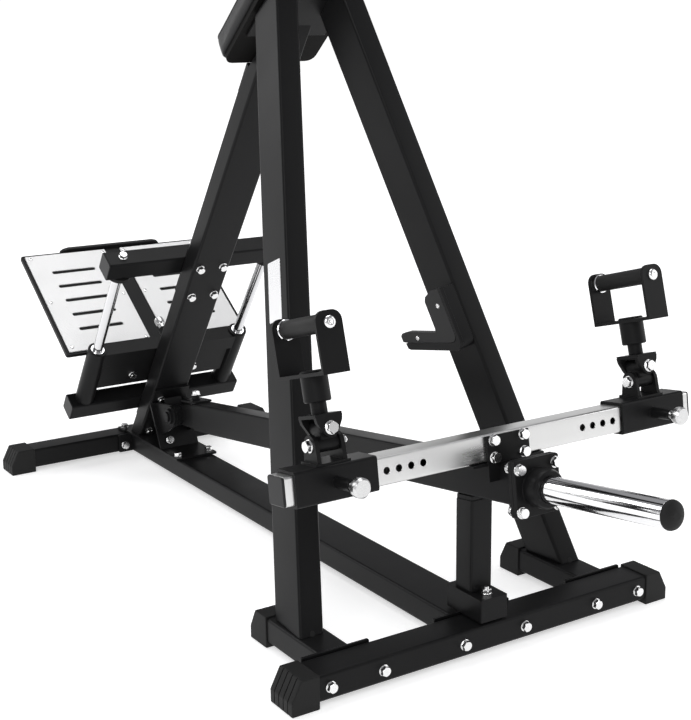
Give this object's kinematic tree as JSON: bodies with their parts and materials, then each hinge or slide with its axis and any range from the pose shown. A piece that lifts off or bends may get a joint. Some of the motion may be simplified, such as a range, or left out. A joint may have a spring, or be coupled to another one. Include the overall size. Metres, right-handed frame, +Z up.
{
  "type": "chest-supported row machine",
  "caption": "Incline chest-supported lever row machine with a plate-loading horn, swivelling handles on a width bar and a sliding foot plate.",
  "frame": {"origin": "on the floor under the centre of the whole machine's bounding box at rest", "axes": "+Z up, +X to the right of a user lying on the pad with the weight horn ahead, -Y towards the weight horn"},
  "size_m": [0.9266, 2.1737, 1.3769],
  "materials": {
    "black_steel": "satin",
    "chrome": "polished",
    "satin_bar": "satin",
    "tread": "textured",
    "rubber": "matte",
    "plastic": "matte",
    "vinyl": "satin",
    "board": "stained"
  },
  "bodies": {
    "machine": {"front_crossbar": "black_steel", "front_foot_cap_left": "rubber", "front_foot_cap_right": "rubber", "base_spine": "black_steel", "side_rail_left": "black_steel", "side_rail_right": "black_steel", "side_rail_cap_left": "rubber", "side_rail_cap_right": "rubber", "rear_crossbar": "black_steel", "rear_foot_cap_left": "rubber", "rear_foot_cap_right": "rubber", "leg_left": "black_steel", "leg_right": "black_steel", "main_beam": "black_steel", "pad_support_plate": "black_steel", "chest_pad_board": "board", "chest_pad": "vinyl", "post_foot": "black_steel", "rest_post": "black_steel", "rest_pad": "rubber", "hook_plate": "black_steel", "hook_liner": "plastic", "guide_upper_member": "black_steel", "guide_lower_member": "black_steel", "guide_rod_left": "chrome", "guide_rod_right": "chrome", "pivot_bracket": "black_steel", "pivot_bearing_left": "black_steel", "pivot_bearing_right": "black_steel"},
    "lever": {"lever_arm": "black_steel", "lever_hub": "black_steel", "lever_shaft": "chrome", "horn_flange": "black_steel", "weight_horn": "chrome", "horn_cap": "rubber", "bar_clamp": "black_steel", "width_bar": "satin_bar", "bar_plug_left": "plastic", "bar_plug_right": "plastic"},
    "foot_plate": {"foot_carriage": "black_steel", "foot_plate_frame": "black_steel", "foot_tread_left": "tread", "foot_tread_right": "tread", "foot_heel_stop": "plastic"},
    "foot_lock_pin": {"foot_pin": "chrome"},
    "sleeve_left": {"handle_sleeve_left": "black_steel"},
    "sleeve_lock_pin_left": {"sleeve_pin_left": "chrome"},
    "joint_left": {"joint_cross_left": "black_steel"},
    "yoke_left": {"joint_yoke_left": "black_steel"},
    "handle_left": {"handle_bracket_left": "black_steel"},
    "grip_left": {"handle_grip_left": "rubber"},
    "sleeve_right": {"handle_sleeve_right": "black_steel"},
    "sleeve_lock_pin_right": {"sleeve_pin_right": "chrome"},
    "joint_right": {"joint_cross_right": "black_steel"},
    "yoke_right": {"joint_yoke_right": "black_steel"},
    "handle_right": {"handle_bracket_right": "black_steel"},
    "grip_right": {"handle_grip_right": "rubber"}
  },
  "joints": [
    {"name": "lever_hinge", "type": "hinge", "parent": "machine", "child": "lever", "pos_m": [0, 0.6253, 0.1697], "axis": [-1, 0, 0], "range_deg": [0, 30]},
    {"name": "foot_plate_slide", "type": "slide", "parent": "machine", "child": "foot_plate", "axis": [0, -0.5841, 0.8117], "range_m": [0, 0.2]},
    {"name": "foot_lock_pull", "type": "slide", "parent": "foot_plate", "child": "foot_lock_pin", "axis": [0, 0.8117, 0.5841], "range_m": [0, 0.008], "stiffness_N_per_m": 900, "springref_m": -0.004},
    {"name": "width_slide_left", "type": "slide", "parent": "lever", "child": "sleeve_left", "axis": [1, 0, 0], "range_m": [0, 0.1785]},
    {"name": "width_lock_pull_left", "type": "slide", "parent": "sleeve_left", "child": "sleeve_lock_pin_left", "axis": [0, -0.9908, 0.1355], "range_m": [0, 0.008], "stiffness_N_per_m": 900, "springref_m": -0.004},
    {"name": "handle_pitch_left", "type": "hinge", "parent": "sleeve_left", "child": "joint_left", "pos_m": [-0.3617, -0.63769, 0.47269], "axis": [1, 0, 0], "range_deg": [-20, 20]},
    {"name": "handle_roll_left", "type": "hinge", "parent": "joint_left", "child": "yoke_left", "pos_m": [-0.3617, -0.63074, 0.49774], "axis": [0, 0.9636, -0.2672], "range_deg": [-15, 15]},
    {"name": "handle_swivel_left", "type": "hinge", "parent": "yoke_left", "child": "handle_left", "pos_m": [-0.3617, -0.61845, 0.54207], "axis": [0, 0.2672, 0.9636], "continuous": true},
    {"name": "grip_spin_left", "type": "hinge", "parent": "handle_left", "child": "grip_left", "pos_m": [-0.3617, -0.58499, 0.66271], "axis": [0, 0.9636, -0.2672], "continuous": true},
    {"name": "width_slide_right", "type": "slide", "parent": "lever", "child": "sleeve_right", "axis": [-1, 0, 0], "range_m": [0, 0.1785]},
    {"name": "width_lock_pull_right", "type": "slide", "parent": "sleeve_right", "child": "sleeve_lock_pin_right", "axis": [0, -0.9908, 0.1355], "range_m": [0, 0.008], "stiffness_N_per_m": 900, "springref_m": -0.004},
    {"name": "handle_pitch_right", "type": "hinge", "parent": "sleeve_right", "child": "joint_right", "pos_m": [0.3617, -0.63769, 0.47269], "axis": [1, 0, 0], "range_deg": [-20, 20]},
    {"name": "handle_roll_right", "type": "hinge", "parent": "joint_right", "child": "yoke_right", "pos_m": [0.3617, -0.63074, 0.49774], "axis": [0, 0.9636, -0.2672], "range_deg": [-15, 15]},
    {"name": "handle_swivel_right", "type": "hinge", "parent": "yoke_right", "child": "handle_right", "pos_m": [0.3617, -0.61845, 0.54207], "axis": [0, 0.2672, 0.9636], "continuous": true},
    {"name": "grip_spin_right", "type": "hinge", "parent": "handle_right", "child": "grip_right", "pos_m": [0.3617, -0.58499, 0.66271], "axis": [0, 0.9636, -0.2672], "continuous": true}
  ]
}
